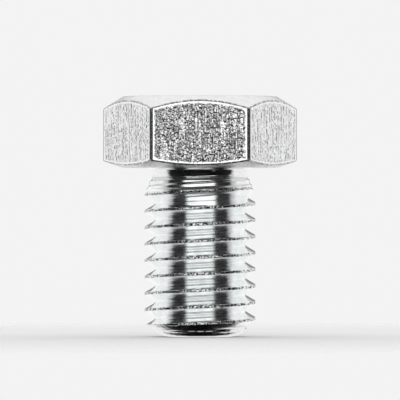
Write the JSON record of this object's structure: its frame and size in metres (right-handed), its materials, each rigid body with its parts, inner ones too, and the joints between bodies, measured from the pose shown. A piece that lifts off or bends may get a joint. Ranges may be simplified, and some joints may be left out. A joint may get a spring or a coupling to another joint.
{
  "type": "hex bolt",
  "caption": "Fully threaded hexagon head bolt in bright zinc plated steel, M12 coarse thread, chamfered head and rounded tip.",
  "frame": {"origin": "centre of the bearing face under the head, on the bolt's axis", "axes": "+Z along the axis up through the head, the threaded shank along -Z; one wrench flat faces -Y and two corners of the hexagon lie on the X axis"},
  "size_m": [0.0206, 0.018, 0.0256],
  "materials": {
    "zinc_plated_steel": "bright blue-white zinc plate: mirror-bright rolled thread, satin forged head"
  },
  "bodies": {
    "root": {"hex_bolt": "zinc_plated_steel"}
  },
  "joints": []
}
